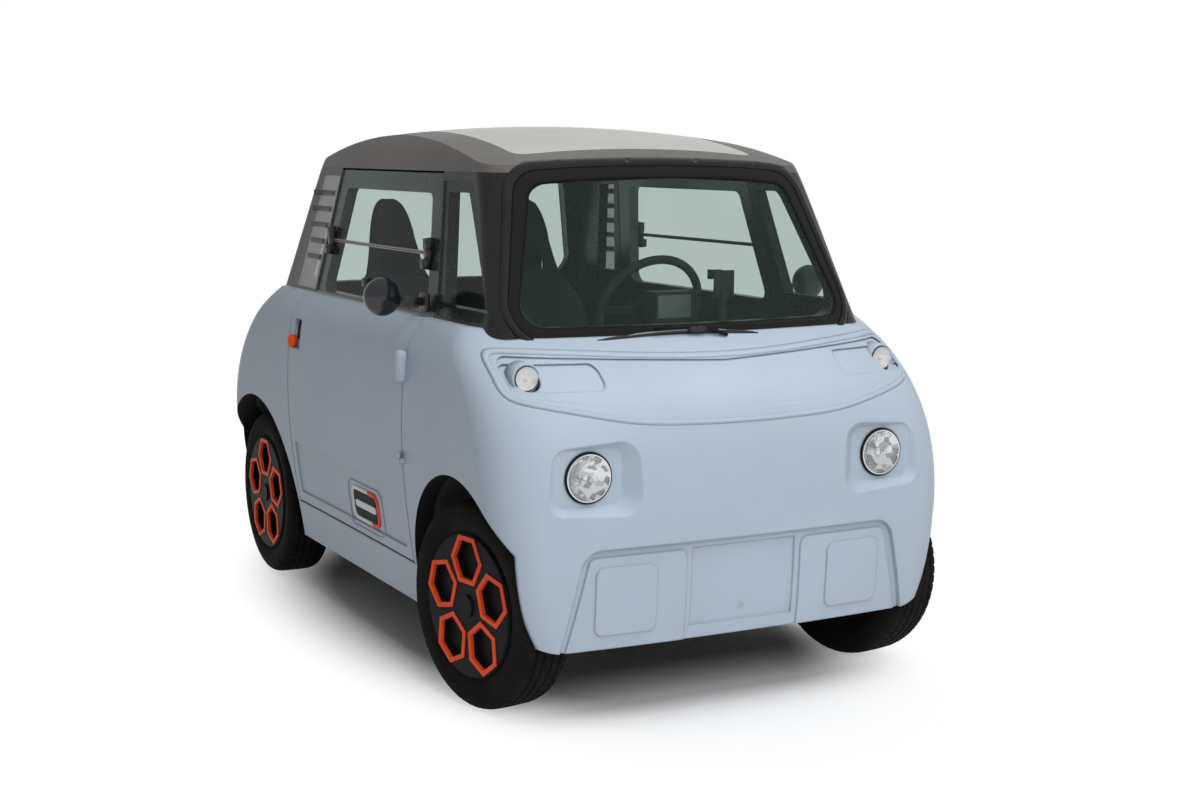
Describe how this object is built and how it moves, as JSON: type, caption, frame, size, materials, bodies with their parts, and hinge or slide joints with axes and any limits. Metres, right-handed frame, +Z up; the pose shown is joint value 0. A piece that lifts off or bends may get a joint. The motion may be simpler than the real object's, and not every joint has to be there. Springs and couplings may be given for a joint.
{
  "type": "two-seat electric microcar",
  "caption": "Small boxy two-seat city car with a glass house, side doors, steered front wheels and hollow moulded body panels.",
  "frame": {"origin": "on the ground under the middle of the wheelbase, on the centre plane", "axes": "+X forward, +Y to the left of the car, +Z up"},
  "size_m": [2.4134, 1.526, 1.532],
  "materials": {
    "tyre": "matt",
    "light_trim": "satin",
    "dark_wheel": "satin",
    "dark_steel": "satin",
    "motor_aluminium": "cast",
    "battery_case": "satin",
    "tinted_glass": "polished",
    "body_colour": "satin",
    "clear_lamp": "polished",
    "red_lamp": "polished",
    "turn_lamp_lens": "polished",
    "seat_plastic": "matt",
    "dark_plastic": "matt",
    "floor_steel": "matt",
    "mirror_shell": "satin",
    "roof_black": "gloss",
    "black_trim": "matt"
  },
  "bodies": {
    "car_body": {"arch_liners": "black_trim", "battery_block": "battery_case", "dashboard": "dark_plastic", "driver_seat": "seat_plastic", "end_panels": "body_colour", "front_suspension": "dark_steel", "headlamps": "clear_lamp", "motor_block": "motor_aluminium", "passenger_seat": "seat_plastic", "pillar_frame": "black_trim", "platform": "floor_steel", "quarter_glass": "tinted_glass", "rear_suspension": "dark_steel", "rear_window": "tinted_glass", "roof_glass": "tinted_glass", "roof_shell": "roof_black", "seat_base": "dark_plastic", "sills": "body_colour", "steering_column": "black_trim", "tail_lamps": "red_lamp", "turn_lamps": "turn_lamp_lens", "windscreen": "tinted_glass", "wiper": "black_trim"},
    "wheel_body_front_left": {"wheel_front_left": "dark_wheel", "tyre_front_left": "tyre", "wheel_trim_front_left": "light_trim"},
    "wheel_body_front_right": {"wheel_front_right": "dark_wheel", "tyre_front_right": "tyre", "wheel_trim_front_right": "light_trim"},
    "wheel_body_rear_left": {"wheel_rear_left": "dark_wheel", "tyre_rear_left": "tyre", "wheel_trim_rear_left": "light_trim"},
    "wheel_body_rear_right": {"wheel_rear_right": "dark_wheel", "tyre_rear_right": "tyre", "wheel_trim_rear_right": "light_trim"},
    "door_body_left": {"door_panel_left": "body_colour", "door_frame_left": "black_trim", "door_glass_left": "tinted_glass", "mirror_left": "mirror_shell"},
    "door_body_right": {"door_panel_right": "body_colour", "door_frame_right": "black_trim", "door_glass_right": "tinted_glass", "mirror_right": "mirror_shell"},
    "knuckle_body_left": {"knuckle_left": "dark_steel"},
    "knuckle_body_right": {"knuckle_right": "dark_steel"},
    "steering_body": {"steering_wheel": "black_trim"}
  },
  "joints": [
    {"name": "knuckle_turn_left", "type": "hinge", "parent": "car_body", "child": "knuckle_body_left", "pos_m": [0.864, 0.5675, 0.2785], "axis": [0, 0, 1], "range_deg": [-43.4, 24.6]},
    {"name": "knuckle_turn_right", "type": "hinge", "parent": "car_body", "child": "knuckle_body_right", "pos_m": [0.864, -0.5675, 0.2785], "axis": [0, 0, 1], "range_deg": [-43.4, 24.6]},
    {"name": "wheel_spin_front_left", "type": "hinge", "parent": "knuckle_body_left", "child": "wheel_body_front_left", "pos_m": [0.864, 0.5675, 0.2785], "axis": [-0.1633, 0.9866, 0], "continuous": true},
    {"name": "wheel_spin_front_right", "type": "hinge", "parent": "knuckle_body_right", "child": "wheel_body_front_right", "pos_m": [0.864, -0.5675, 0.2785], "axis": [-0.1633, 0.9866, 0], "continuous": true},
    {"name": "wheel_spin_rear_left", "type": "hinge", "parent": "car_body", "child": "wheel_body_rear_left", "pos_m": [-0.864, 0.5825, 0.2785], "axis": [0, 1, 0], "continuous": true},
    {"name": "wheel_spin_rear_right", "type": "hinge", "parent": "car_body", "child": "wheel_body_rear_right", "pos_m": [-0.864, -0.5825, 0.2785], "axis": [0, 1, 0], "continuous": true},
    {"name": "steering_turn", "type": "hinge", "parent": "car_body", "child": "steering_body", "pos_m": [0.285, 0.215, 0.982], "axis": [-0.9063, 0, 0.4226], "range_deg": [-607.6, 344.4]},
    {"name": "door_open_right", "type": "hinge", "parent": "car_body", "child": "door_body_right", "pos_m": [0.503, -0.698, 0.7], "axis": [0, 0, 1], "range_deg": [0, 75]},
    {"name": "door_open_left", "type": "hinge", "parent": "car_body", "child": "door_body_left", "pos_m": [-0.503, 0.698, 0.7], "axis": [0, 0, 1], "range_deg": [0, 75]}
  ],
  "couplings": [
    {"joint": "knuckle_turn_left", "follows": "steering_turn", "ratio": 0.071429},
    {"joint": "knuckle_turn_right", "follows": "steering_turn", "ratio": 0.071429}
  ]
}
